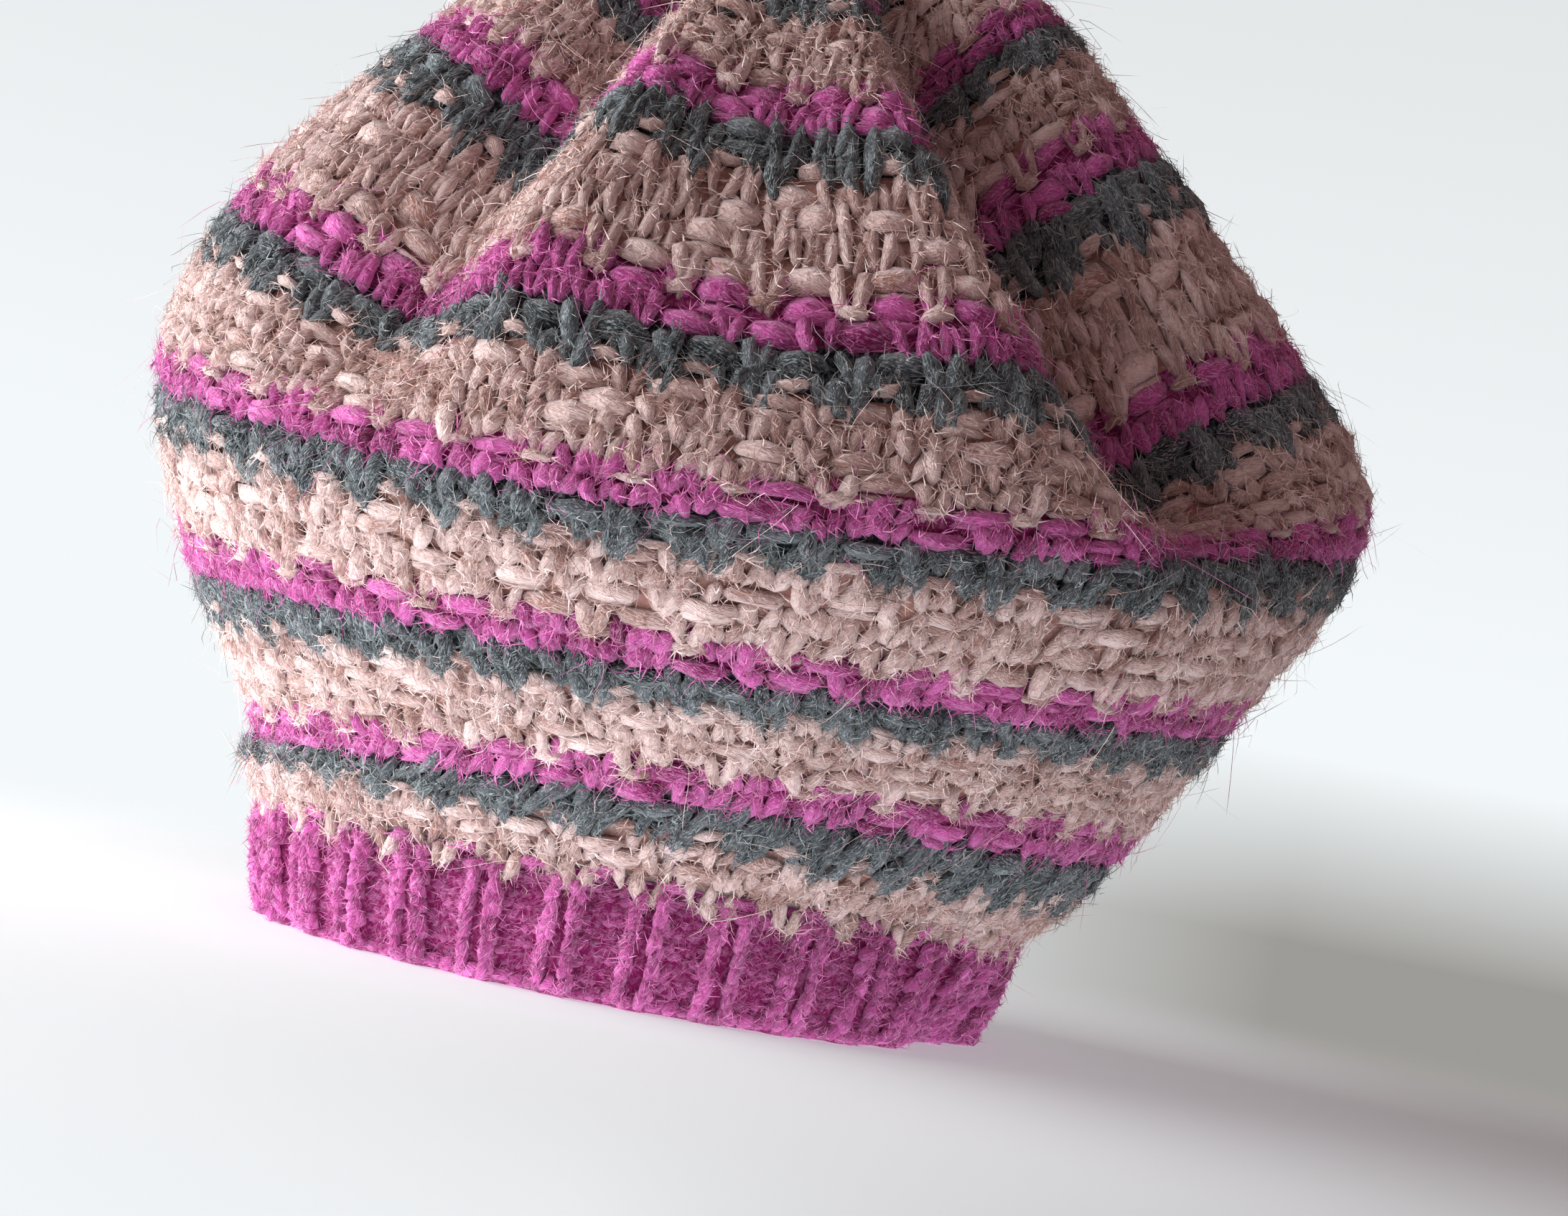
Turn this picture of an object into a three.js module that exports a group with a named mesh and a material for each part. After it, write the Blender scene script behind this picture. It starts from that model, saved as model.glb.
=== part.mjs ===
// A hand-knitted tam o shanter that stands on its rim: a ribbed band and a soft crown
// that slumps forwards and to the right, with one deep crease right of the front.
// Millimetres, +Z up, the front of the hat towards -Y.
import * as THREE from 'three';

// Driving dimensions
const RIM_DIAMETER = 152;
const BAND_HEIGHT = 20.5;
const BAND_DRAW_IN = 4;
const CROWN_WIDTH = 231;
const CROWN_HEIGHT = 195;
const WALL = 4;
const SEAM_GAP = 0.3;

// Ribs of the band: pairs of narrow ridges with a valley between the pairs
const RIB_PAIRS = 32;
const RIB_DEPTH = 2;

// How finely the knitted walls are divided
const CROWN_COLUMNS = 80;
const CROWN_ROWS = 26;
const BAND_ROWS = 2;
const CREASE_CROWDING = 0.45;

const RIM_RADIUS = RIM_DIAMETER / 2;
const WIDE_RADIUS = CROWN_WIDTH / 2;
const CROWN_BASE = BAND_HEIGHT + SEAM_GAP;

// Rounds of the crown, from the band to the middle of the top. along is the share of the
// way up a line of stitches and height the share of CROWN_HEIGHT. The radius is rim times
// RIM_RADIUS plus wide times WIDE_RADIUS. right, front and slump are shares of WIDE_RADIUS,
// and lean and tip are the slopes of the round to the right and to the front.
const ROUNDS = [
  {
    name: 'band_top', along: 0.000, height: 0.000, rim: 1.00, wide: 0.000,
    right: 0.000, front: 0.000, lean: 0.000, tip: 0.000, slump: 0.000,
  },
  {
    name: 'first_beige', along: 0.045, height: 0.045, rim: 0.83, wide: 0.172,
    right: 0.018, front: 0.017, lean: 0.002, tip: 0.002, slump: 0.000,
  },
  {
    name: 'stripe_1', along: 0.095, height: 0.102, rim: 0.65, wide: 0.321,
    right: 0.064, front: 0.052, lean: 0.048, tip: 0.030, slump: -0.014,
  },
  {
    name: 'stripe_2', along: 0.225, height: 0.257, rim: 0.36, wide: 0.652,
    right: 0.048, front: 0.120, lean: 0.032, tip: 0.100, slump: 0.011,
  },
  {
    name: 'stripe_3', along: 0.356, height: 0.454, rim: 0.00, wide: 0.989,
    right: 0.063, front: 0.190, lean: 0.051, tip: 0.200, slump: 0.024,
  },
  {
    name: 'stripe_4', along: 0.487, height: 0.627, rim: 0.00, wide: 0.874,
    right: 0.024, front: 0.190, lean: 0.043, tip: 0.240, slump: 0.036,
  },
  {
    name: 'stripe_5', along: 0.618, height: 0.823, rim: 0.00, wide: 0.608,
    right: -0.005, front: 0.156, lean: 0.044, tip: 0.250, slump: 0.064,
  },
  {
    name: 'stripe_6', along: 0.749, height: 0.931, rim: 0.00, wide: 0.425,
    right: -0.002, front: 0.139, lean: 0.044, tip: 0.250, slump: 0.045,
  },
  {
    name: 'stripe_7', along: 0.880, height: 0.998, rim: 0.00, wide: 0.213,
    right: 0.004, front: 0.121, lean: 0.044, tip: 0.250, slump: 0.020,
  },
  {
    name: 'middle', along: 1.000, height: 1.015, rim: 0.00, wide: 0.000,
    right: 0.008, front: 0.121, lean: 0.044, tip: 0.250, slump: 0.000,
  },
];

// Folds of the crown. Their azimuths run from the front to the right, in degrees, where
// they cross stripe_3 and stripe_5. from and to are shares of the way up, before and after
// are half widths in degrees, and depth is a share of WIDE_RADIUS, negative on a swelling.
const FOLDS = [
  {
    name: 'crease', atStripe3: 46, atStripe5: 32, from: 0.27, to: 0.97,
    before: 10, after: 18, depth: 0.280,
  },
  {
    name: 'crease_lip', atStripe3: 31, atStripe5: 20, from: 0.33, to: 1.00,
    before: 14, after: 9, depth: -0.050,
  },
  {
    name: 'left_valley', atStripe3: -40, atStripe5: -34, from: 0.30, to: 1.00,
    before: 12, after: 9, depth: 0.113,
  },
  {
    name: 'left_lip', atStripe3: -25, atStripe5: -20, from: 0.36, to: 0.90,
    before: 9, after: 10, depth: -0.045,
  },
  {
    name: 'right_tip', atStripe3: 84, atStripe5: 84, from: 0.22, to: 0.52,
    before: 26, after: 22, depth: -0.055,
  },
  {
    name: 'back_right_valley', atStripe3: 118, atStripe5: 108, from: 0.34, to: 1.00,
    before: 15, after: 13, depth: 0.085,
  },
  {
    name: 'back_valley', atStripe3: 176, atStripe5: 182, from: 0.38, to: 1.00,
    before: 13, after: 16, depth: 0.070,
  },
  {
    name: 'back_left_valley', atStripe3: -112, atStripe5: -104, from: 0.33, to: 1.00,
    before: 14, after: 14, depth: 0.080,
  },
];
const FOLD_FADE_IN = 0.20;
const FOLD_FADE_OUT = 0.30;

// The small tuck at the right of the band, deepest at its lower edge
const BAND_TUCK = { azimuth: 64, halfWidth: 13, depth: 9 };

// One pair of ribs: share of the pair's width and share of RIB_DEPTH
const RIB_OUTLINE = [
  { across: 0.00, rise: 0.0 },
  { across: 0.08, rise: 1.0 },
  { across: 0.21, rise: 0.4 },
  { across: 0.34, rise: 1.0 },
  { across: 0.42, rise: 0.0 },
  { across: 0.72, rise: 0.0 },
];

const radians = THREE.MathUtils.degToRad;
const smooth = (share) => THREE.MathUtils.smoothstep(share, 0, 1);

// Angle from one azimuth to another, in radians between minus and plus pi
function turnBetween(from, to) {
  const turn = to - from;
  return Math.atan2(Math.sin(turn), Math.cos(turn));
}

// Slope of one column of ROUNDS at one of its rows
function slopeAt(column, row) {
  const before = ROUNDS[Math.max(row - 1, 0)];
  const after = ROUNDS[Math.min(row + 1, ROUNDS.length - 1)];
  return (after[column] - before[column]) / (after.along - before.along);
}

// One column of ROUNDS as a smooth curve through its rows
function roundValue(column, along) {
  let row = 0;
  while (row < ROUNDS.length - 2 && along > ROUNDS[row + 1].along) {
    row += 1;
  }
  const start = ROUNDS[row];
  const end = ROUNDS[row + 1];
  const step = end.along - start.along;
  const t = (along - start.along) / step;
  const startSlope = slopeAt(column, row) * step;
  const endSlope = slopeAt(column, row + 1) * step;
  return (2 * t ** 3 - 3 * t ** 2 + 1) * start[column] + (t ** 3 - 2 * t ** 2 + t) * startSlope
    + (3 * t ** 2 - 2 * t ** 3) * end[column] + (t ** 3 - t ** 2) * endSlope;
}

// The crown without its folds, at an azimuth from the front and a share of the way up
function plainCrown(azimuth, along) {
  const radius = Math.max(
    RIM_RADIUS * roundValue('rim', along) + WIDE_RADIUS * roundValue('wide', along), 0);
  const x = radius * Math.sin(azimuth);
  const y = -radius * Math.cos(azimuth);
  const facingFront = Math.max(Math.cos(azimuth), 0) ** 2;
  return new THREE.Vector3(
    x + WIDE_RADIUS * roundValue('right', along),
    y - WIDE_RADIUS * roundValue('front', along),
    CROWN_BASE + CROWN_HEIGHT * roundValue('height', along) + roundValue('lean', along) * x
      + roundValue('tip', along) * y - WIDE_RADIUS * roundValue('slump', along) * facingFront);
}

// Outward direction of a surface given as a function of azimuth and share of the way up
function outward(surface, azimuth, along) {
  const step = 0.001;
  const base = Math.min(along, 1 - 2 * step);
  const around = surface(azimuth + step, base).sub(surface(azimuth - step, base));
  const up = surface(azimuth, base + step).sub(surface(azimuth, base));
  return around.cross(up).normalize();
}

// How far all folds together push the crown in at one place
function foldDepth(azimuth, along) {
  const stripe3 = ROUNDS.find((round) => round.name === 'stripe_3').along;
  const stripe5 = ROUNDS.find((round) => round.name === 'stripe_5').along;
  let depth = 0;
  for (const fold of FOLDS) {
    const climb = (along - stripe3) / (stripe5 - stripe3);
    const centre = radians(fold.atStripe3 + (fold.atStripe5 - fold.atStripe3) * climb);
    const turn = turnBetween(centre, azimuth);
    const halfWidth = radians(turn < 0 ? fold.before : fold.after);
    const fadeIn = smooth((along - fold.from) / FOLD_FADE_IN);
    const fadeOut = smooth((fold.to - along) / FOLD_FADE_OUT);
    depth += WIDE_RADIUS * fold.depth * fadeIn * fadeOut * Math.exp(-((turn / halfWidth) ** 2));
  }
  return depth;
}

// Outer face of the folded crown
function crownFace(azimuth, along) {
  const push = outward(plainCrown, azimuth, along).multiplyScalar(-foldDepth(azimuth, along));
  return plainCrown(azimuth, along).add(push);
}

// Inner face of the crown, one wall thickness in, between the folded and the plain direction
// so that the two faces never cross inside a fold
function crownLining(azimuth, along) {
  const out = outward(crownFace, azimuth, along).add(outward(plainCrown, azimuth, along));
  if (along === 0) {
    out.setZ(0);
  }
  return crownFace(azimuth, along).addScaledVector(out.normalize(), -WALL);
}

// Outer face of the band at an azimuth, a share of its height and a rise of its ribs
function bandFace(azimuth, up, rise) {
  const turn = turnBetween(radians(BAND_TUCK.azimuth), azimuth) / radians(BAND_TUCK.halfWidth);
  const tuck = BAND_TUCK.depth * (1 - up) * Math.exp(-(turn ** 2));
  const radius = RIM_RADIUS - BAND_DRAW_IN * (1 - up) ** 2 - tuck - RIB_DEPTH * (1 - rise);
  return new THREE.Vector3(radius * Math.sin(azimuth), -radius * Math.cos(azimuth), BAND_HEIGHT * up);
}

// Inner face of the band, smooth, one wall thickness in from the tops of the ribs
function bandLining(azimuth, up) {
  const point = bandFace(azimuth, up, 1);
  const inward = new THREE.Vector3(Math.sin(azimuth), -Math.cos(azimuth), 0);
  return point.addScaledVector(inward, -WALL);
}

// A closed mesh over rings of equal length. With tips it closes at a point at both ends,
// and without them the last ring joins the first.
function skinOverRings(rings, tips) {
  const columns = rings[0].length;
  const points = rings.flat();
  const faces = [];
  const joins = tips ? rings.length - 1 : rings.length;
  for (let ring = 0; ring < joins; ring += 1) {
    const here = ring * columns;
    const next = ((ring + 1) % rings.length) * columns;
    for (let column = 0; column < columns; column += 1) {
      const beside = (column + 1) % columns;
      faces.push(here + column, next + column, next + beside);
      faces.push(here + column, next + beside, here + beside);
    }
  }
  if (tips) {
    const last = (rings.length - 1) * columns;
    const firstTip = points.push(tips.first) - 1;
    const lastTip = points.push(tips.last) - 1;
    for (let column = 0; column < columns; column += 1) {
      const beside = (column + 1) % columns;
      faces.push(firstTip, column, beside);
      faces.push(lastTip, last + beside, last + column);
    }
  }
  const geometry = new THREE.BufferGeometry().setFromPoints(points);
  geometry.setIndex(faces);
  geometry.computeVertexNormals();
  return geometry;
}

// Azimuths of the crown's columns, which crowd towards the deep crease
function crownAzimuths() {
  const crease = radians(FOLDS[0].atStripe5);
  return Array.from({ length: CROWN_COLUMNS }, (_, column) => {
    const even = (column / CROWN_COLUMNS) * 2 * Math.PI;
    return crease + even - CREASE_CROWDING * Math.sin(even);
  });
}

// Azimuths of the band's columns, with the rise of the ribs at each
function bandColumns() {
  const columns = [];
  for (let pair = 0; pair < RIB_PAIRS; pair += 1) {
    for (const corner of RIB_OUTLINE) {
      const azimuth = ((pair + corner.across) / RIB_PAIRS) * 2 * Math.PI;
      columns.push({ azimuth, rise: corner.rise });
    }
  }
  return columns;
}

function crownGeometry() {
  const azimuths = crownAzimuths();
  const shares = Array.from({ length: CROWN_ROWS }, (_, row) => row / CROWN_ROWS);
  const ringOf = (face, along) => azimuths.map((azimuth) => face(azimuth, along));
  const outer = shares.map((along) => ringOf(crownFace, along)).reverse();
  const inner = shares.map((along) => ringOf(crownLining, along));
  const tips = { first: crownFace(0, 1), last: crownFace(0, 1).setZ(crownFace(0, 1).z - WALL) };
  return skinOverRings([...outer, ...inner], tips);
}

function bandGeometry() {
  const columns = bandColumns();
  const shares = Array.from({ length: BAND_ROWS + 1 }, (_, row) => row / BAND_ROWS);
  const outer = shares.map((up) => columns.map(({ azimuth, rise }) => bandFace(azimuth, up, rise)));
  const inner = shares.map((up) => columns.map(({ azimuth }) => bandLining(azimuth, up)));
  return skinOverRings([...outer.reverse(), ...inner], null);
}

function knittedPiece(name, geometry, colour) {
  const wool = new THREE.MeshStandardMaterial({ color: colour, roughness: 0.95, metalness: 0 });
  const piece = new THREE.Mesh(geometry, wool);
  piece.name = name;
  return piece;
}

// The whole hat, stood over the middle of its outline as seen from above
function tamOShanter() {
  const hat = new THREE.Group();
  hat.add(knittedPiece('ribbed_band', bandGeometry(), 0xb8478f));
  hat.add(knittedPiece('crown', crownGeometry(), 0xd8bfb2));
  const middle = new THREE.Box3().setFromObject(hat).getCenter(new THREE.Vector3());
  hat.position.set(-middle.x, -middle.y, 0);
  return hat;
}

export default tamOShanter();
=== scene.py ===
"""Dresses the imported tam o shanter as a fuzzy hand-knitted hat.

The crown and the ribbed band get a ground of the knit's thickness, single stitches laid over
it row by row, and a halo of loose fibres. Everything is in metres, in the frame of the solids.
"""
import logging
import math
from dataclasses import dataclass, field
from enum import Enum
from typing import Sequence

import bmesh
import bpy
import numpy as np
from mathutils import Matrix, Vector

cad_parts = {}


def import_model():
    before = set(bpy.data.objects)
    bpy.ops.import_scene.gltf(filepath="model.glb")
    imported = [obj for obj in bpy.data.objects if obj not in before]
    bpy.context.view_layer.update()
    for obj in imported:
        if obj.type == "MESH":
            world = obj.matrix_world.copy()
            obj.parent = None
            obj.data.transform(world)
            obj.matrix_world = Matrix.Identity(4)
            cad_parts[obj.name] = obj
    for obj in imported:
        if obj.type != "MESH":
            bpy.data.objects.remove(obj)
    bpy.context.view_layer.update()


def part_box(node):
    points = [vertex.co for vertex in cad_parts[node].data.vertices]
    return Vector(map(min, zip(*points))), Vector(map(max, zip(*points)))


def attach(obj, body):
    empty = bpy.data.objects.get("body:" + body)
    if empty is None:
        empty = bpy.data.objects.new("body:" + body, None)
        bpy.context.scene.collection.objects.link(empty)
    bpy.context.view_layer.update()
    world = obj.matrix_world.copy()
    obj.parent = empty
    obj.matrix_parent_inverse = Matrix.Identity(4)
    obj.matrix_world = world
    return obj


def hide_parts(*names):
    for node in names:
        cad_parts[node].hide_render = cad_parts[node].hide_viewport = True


LOG = logging.getLogger("tam")
MM = 0.001
Colour = tuple[float, float, float]

# Driving sizes of the crown, as in the solids
CROWN_WIDTH = 231 * MM
CROWN_HEIGHT = 195 * MM
WALL = 4 * MM

# Points of a seam that are nearer than this are one point, and no yarn lies lower than the gap
SEAM = 0.02 * MM
EDGE_GAP = 0.05 * MM

# The shade value of a ground, below the 0 to 1 of the stitches: it paints the ground in its wool's
# deep colour, as painted shade between the stitches
GROUND_PAINTED_SHADE = -1.0

# The step for slopes, and the sampling of the cloths
SLOPE_STEP = 0.001
CROWN_CLOTH_ROWS = 360
CROWN_CLOTH_COLUMNS = 900
BAND_CLOTH_ROWS = 40
BAND_CLOTH_COLUMNS = 1601
FOLD_EVENNESS = 0.55

# How the fibres run in a length of yarn: its twist in radians, a usual length in cells, and
# how far apart two lengths are in the fibres' pattern
FIBRE_TWIST = 1.6
USUAL_LENGTH = 1.3
PATTERN_REACH = 40.0


@dataclass(frozen=True)
class Round:
    """One round of the crown: shares of its sizes, and the slopes of its lean and tip."""

    name: str
    along: float
    height: float
    rim: float
    wide: float
    right: float
    front: float
    lean: float
    tip: float
    slump: float


ROUNDS = (
    Round("band_top", 0.000, 0.000, 1.00, 0.000, 0.000, 0.000, 0.000, 0.000, 0.000),
    Round("first_beige", 0.045, 0.045, 0.83, 0.172, 0.018, 0.017, 0.002, 0.002, 0.000),
    Round("stripe_1", 0.095, 0.102, 0.65, 0.321, 0.064, 0.052, 0.048, 0.030, -0.014),
    Round("stripe_2", 0.225, 0.257, 0.36, 0.652, 0.048, 0.120, 0.032, 0.100, 0.011),
    Round("stripe_3", 0.356, 0.454, 0.00, 0.989, 0.063, 0.190, 0.051, 0.200, 0.024),
    Round("stripe_4", 0.487, 0.627, 0.00, 0.874, 0.024, 0.190, 0.043, 0.240, 0.036),
    Round("stripe_5", 0.618, 0.823, 0.00, 0.608, -0.005, 0.156, 0.044, 0.250, 0.064),
    Round("stripe_6", 0.749, 0.931, 0.00, 0.425, -0.002, 0.139, 0.044, 0.250, 0.045),
    Round("stripe_7", 0.880, 0.998, 0.00, 0.213, 0.004, 0.121, 0.044, 0.250, 0.020),
    Round("middle", 1.000, 1.015, 0.00, 0.000, 0.008, 0.121, 0.044, 0.250, 0.000),
)
STRIPE_3 = 0.356
STRIPE_5 = 0.618


@dataclass(frozen=True)
class Fold:
    """A fold of the crown: azimuths and half widths in degrees, depth a share of the radius."""

    name: str
    at_stripe_3: float
    at_stripe_5: float
    start: float
    end: float
    before: float
    after: float
    depth: float


FOLDS = (
    Fold("crease", 46, 32, 0.27, 0.97, 10, 18, 0.280),
    Fold("crease_lip", 31, 20, 0.33, 1.00, 14, 9, -0.050),
    Fold("left_valley", -40, -34, 0.30, 1.00, 12, 9, 0.113),
    Fold("left_lip", -25, -20, 0.36, 0.90, 9, 10, -0.045),
    Fold("right_tip", 84, 84, 0.22, 0.52, 26, 22, -0.055),
    Fold("back_right_valley", 118, 108, 0.34, 1.00, 15, 13, 0.085),
    Fold("back_valley", 176, 182, 0.38, 1.00, 13, 16, 0.070),
    Fold("back_left_valley", -112, -104, 0.33, 1.00, 14, 14, 0.080),
)
FOLD_FADE_IN = 0.20
FOLD_FADE_OUT = 0.30


class Wool(Enum):
    """The three yarns that the hat is knitted from."""

    BEIGE = 0
    MAGENTA = 1
    CHARCOAL = 2


class Stitch(Enum):
    """The kinds of stitch, by their letters in the chart.

    A drawn-down stitch is slipped and reaches over the row below it. A strand lies over its own
    stitch and the one that carries on, and a dash of the other yarn over a dashed one.
    """

    PLAIN = "v"
    DRAWN_DOWN = "l"
    UNDER_A_STRAND = "b"
    CARRIED_ON = "."
    DASHED = "d"


@dataclass(frozen=True)
class ChartRow:
    """One row of the crown's chart, in the letters of the stitches, and the dashes' yarn."""

    wool: Wool
    stitches: str
    other: Wool


# One stripe repeat, from its lowest row up
CHART = (
    ChartRow(Wool.CHARCOAL, "ldv", Wool.BEIGE),
    ChartRow(Wool.CHARCOAL, "lb.", Wool.MAGENTA),
    ChartRow(Wool.MAGENTA, "b.v", Wool.MAGENTA),
    ChartRow(Wool.MAGENTA, "db.", Wool.BEIGE),
    ChartRow(Wool.BEIGE, "lb.", Wool.BEIGE),
    ChartRow(Wool.BEIGE, "b.v", Wool.BEIGE),
    ChartRow(Wool.BEIGE, "vb.", Wool.BEIGE),
    ChartRow(Wool.BEIGE, "b.v", Wool.BEIGE),
)
FIRST_ROW = ChartRow(Wool.BEIGE, "ldv", Wool.MAGENTA)
CHART_COLUMNS = 3
FIRST_CHARCOAL_ROW = 3

# Heights up the crown are shares of its way from the band to its middle
STRIPE_PITCH = 0.131
ROW_PITCH = STRIPE_PITCH / len(CHART)
FIRST_ROW_START = -0.0033
CROWN_ROWS = 61
CROWN_PIECES = ((0, 12), (13, 24), (25, 36), (37, 60))


@dataclass(frozen=True)
class Gauge:
    """How many pattern repeats go round the crown up to and including a row."""

    last_row: int
    repeats: int


GAUGES = (
    Gauge(8, 38), Gauge(17, 43), Gauge(33, 47), Gauge(41, 39),
    Gauge(49, 27), Gauge(55, 16), Gauge(58, 9), Gauge(60, 5),
)


def chart_row(row: int) -> ChartRow:
    """Finds the chart row that a row of the crown is knitted to.

    Args:
        row: The row, counted from the band.

    Returns:
        Its row of the chart.
    """
    if row == 0:
        return FIRST_ROW
    return CHART[(row - FIRST_CHARCOAL_ROW) % len(CHART)]


def repeats_in(row: int) -> int:
    """Returns the pattern repeats round a row of the crown."""
    return next(gauge.repeats for gauge in GAUGES if row <= gauge.last_row)


def smooth_step(share: np.ndarray) -> np.ndarray:
    """Returns an eased share, flat at 0 and at 1."""
    share = np.clip(share, 0.0, 1.0)
    return share * share * (3.0 - 2.0 * share)


def unit(vectors: np.ndarray) -> np.ndarray:
    """Returns vectors scaled to length one."""
    return vectors / np.maximum(np.linalg.norm(vectors, axis=-1, keepdims=True), 1e-12)


@dataclass
class CrownShape:
    """The crown's outer face as a function of azimuth and share of the way up."""

    centre: Vector
    rim_radius: float
    base: float
    wide_radius: float = CROWN_WIDTH / 2
    height: float = CROWN_HEIGHT

    def value(self, column: str, along: np.ndarray) -> np.ndarray:
        """Returns one column of the rounds as a smooth curve through their rows.

        Args:
            column: The name of the column.
            along: Shares of the way up.

        Returns:
            The column's value at each share.
        """
        knots = np.array([row.along for row in ROUNDS])
        values = np.array([getattr(row, column) for row in ROUNDS])
        before = np.maximum(np.arange(len(knots)) - 1, 0)
        after = np.minimum(np.arange(len(knots)) + 1, len(knots) - 1)
        slopes = (values[after] - values[before]) / (knots[after] - knots[before])
        row = np.clip(np.searchsorted(knots, along, side="right") - 1, 0, len(knots) - 2)
        step = knots[row + 1] - knots[row]
        t = (along - knots[row]) / step
        rise = (2 * t**3 - 3 * t**2 + 1) * values[row] + (3 * t**2 - 2 * t**3) * values[row + 1]
        swing = (t**3 - 2 * t**2 + t) * slopes[row] + (t**3 - t**2) * slopes[row + 1]
        return rise + swing * step

    def plain(self, azimuth: np.ndarray, along: np.ndarray) -> np.ndarray:
        """Lays out the crown without its folds.

        Args:
            azimuth: Angles from the front towards the right.
            along: Shares of the way up.

        Returns:
            The points.
        """
        reach = self.rim_radius * self.value("rim", along)
        reach = np.maximum(reach + self.wide_radius * self.value("wide", along), 0.0)
        x = reach * np.sin(azimuth)
        y = -reach * np.cos(azimuth)
        facing_front = np.maximum(np.cos(azimuth), 0.0) ** 2
        z = self.base + self.height * self.value("height", along)
        z = z + self.value("lean", along) * x + self.value("tip", along) * y
        z = z - self.wide_radius * self.value("slump", along) * facing_front
        x = x + self.wide_radius * self.value("right", along) + self.centre.x
        y = y - self.wide_radius * self.value("front", along) + self.centre.y
        return np.stack([x, y, z], axis=-1)

    def fold_depth(self, azimuth: np.ndarray, along: np.ndarray) -> np.ndarray:
        """Adds up how far the folds push the crown in.

        Args:
            azimuth: Angles from the front towards the right.
            along: Shares of the way up.

        Returns:
            The depth at each place.
        """
        depth = np.zeros(np.broadcast(azimuth, along).shape)
        climb = (along - STRIPE_3) / (STRIPE_5 - STRIPE_3)
        for fold in FOLDS:
            middle = np.radians(fold.at_stripe_3 + (fold.at_stripe_5 - fold.at_stripe_3) * climb)
            turn = (azimuth - middle + math.pi) % (2 * math.pi) - math.pi
            half_width = np.radians(np.where(turn < 0, fold.before, fold.after))
            fade = smooth_step((along - fold.start) / FOLD_FADE_IN)
            fade = fade * smooth_step((fold.end - along) / FOLD_FADE_OUT)
            depth += self.wide_radius * fold.depth * fade * np.exp(-((turn / half_width) ** 2))
        return depth

    def face(self, azimuth: np.ndarray, along: np.ndarray) -> np.ndarray:
        """Lays out the folded crown.

        Args:
            azimuth: Angles from the front towards the right.
            along: Shares of the way up.

        Returns:
            The points of its outer face.
        """
        low = np.minimum(along, 1 - 2 * SLOPE_STEP)
        right = self.plain(azimuth + SLOPE_STEP, low)
        left = self.plain(azimuth - SLOPE_STEP, low)
        across = right - left
        up = self.plain(azimuth, low + SLOPE_STEP) - self.plain(azimuth, low)
        out = unit(np.cross(across, up))
        return self.plain(azimuth, along) - out * self.fold_depth(azimuth, along)[..., None]


@dataclass
class Cloth:
    """A knitted surface sampled on a fine grid, with places given by turn and by height share.

    A turn of 0 is the middle of the back, and turns grow by way of the left side, so that the
    front is at about a half.
    """

    points: np.ndarray
    normals: np.ndarray
    drop: float = CROWN_HEIGHT

    def at(self, turn: np.ndarray, up: np.ndarray) -> tuple[np.ndarray, np.ndarray]:
        """Finds places on the cloth, which goes on straight down below its lower edge.

        Args:
            turn: Turns round the hat.
            up: Shares of the cloth's height.

        Returns:
            The points and their outward normals.
        """
        rows, columns = self.points.shape[:2]
        across = np.mod(turn, 1.0) * (columns - 1)
        rise = np.clip(up, 0.0, 1.0) * (rows - 1)
        column = np.minimum(across.astype(int), columns - 2)
        row = np.minimum(rise.astype(int), rows - 2)
        s = (across - column)[..., None]
        t = (rise - row)[..., None]

        def mixed(grid: np.ndarray) -> np.ndarray:
            """Reads a grid between its samples.

            Args:
                grid: The grid.

            Returns:
                Its values at the places asked for.
            """
            low = grid[row, column] * (1 - s) + grid[row, column + 1] * s
            high = grid[row + 1, column] * (1 - s) + grid[row + 1, column + 1] * s
            return low * (1 - t) + high * t

        points = mixed(self.points)
        points[..., 2] += np.minimum(up, 0.0) * self.drop
        return points, unit(mixed(self.normals))


def grid_normals(points: np.ndarray) -> np.ndarray:
    """Works out the outward normals of a grid that closes on itself across.

    Args:
        points: The grid's points, in rows from below.

    Returns:
        A normal for each point.
    """
    ring = points[:, :-1]
    across = np.roll(ring, -1, axis=1) - np.roll(ring, 1, axis=1)
    up = np.gradient(ring, axis=0)
    normals = unit(np.cross(across, up))
    return np.concatenate([normals, normals[:, :1]], axis=1)


def crown_cloth(shape: CrownShape) -> Cloth:
    """Samples the crown so that equal turns hold nearly equal lengths of knitting.

    Args:
        shape: The crown's outer face.

    Returns:
        The crown as cloth, where a fold takes up more stitches than a flat stretch does.
    """
    up = np.linspace(0.0, 1.0, CROWN_CLOTH_ROWS)[:, None]
    azimuth = np.linspace(-math.pi, math.pi, CROWN_CLOTH_COLUMNS)[None, :]
    fine = shape.face(azimuth, up)
    lengths = np.linalg.norm(np.diff(fine, axis=1), axis=2)
    lengths = lengths / np.maximum(lengths.mean(axis=1, keepdims=True), 1e-9)
    lengths[-1] = 1.0
    density = 1.0 + FOLD_EVENNESS * (lengths - 1.0)
    start = np.zeros((CROWN_CLOTH_ROWS, 1))
    travelled = np.concatenate([start, np.cumsum(density, axis=1)], axis=1)
    travelled /= travelled[:, -1:]
    turns = np.linspace(0.0, 1.0, CROWN_CLOTH_COLUMNS)
    even = np.stack([np.interp(turns, way, azimuth[0]) for way in travelled])
    points = shape.face(even, np.broadcast_to(up, even.shape))
    points[:, -1] = points[:, 0]
    normals = grid_normals(points)
    normals[-1] = unit(normals[-2].mean(axis=0))
    return Cloth(points, normals)


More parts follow.
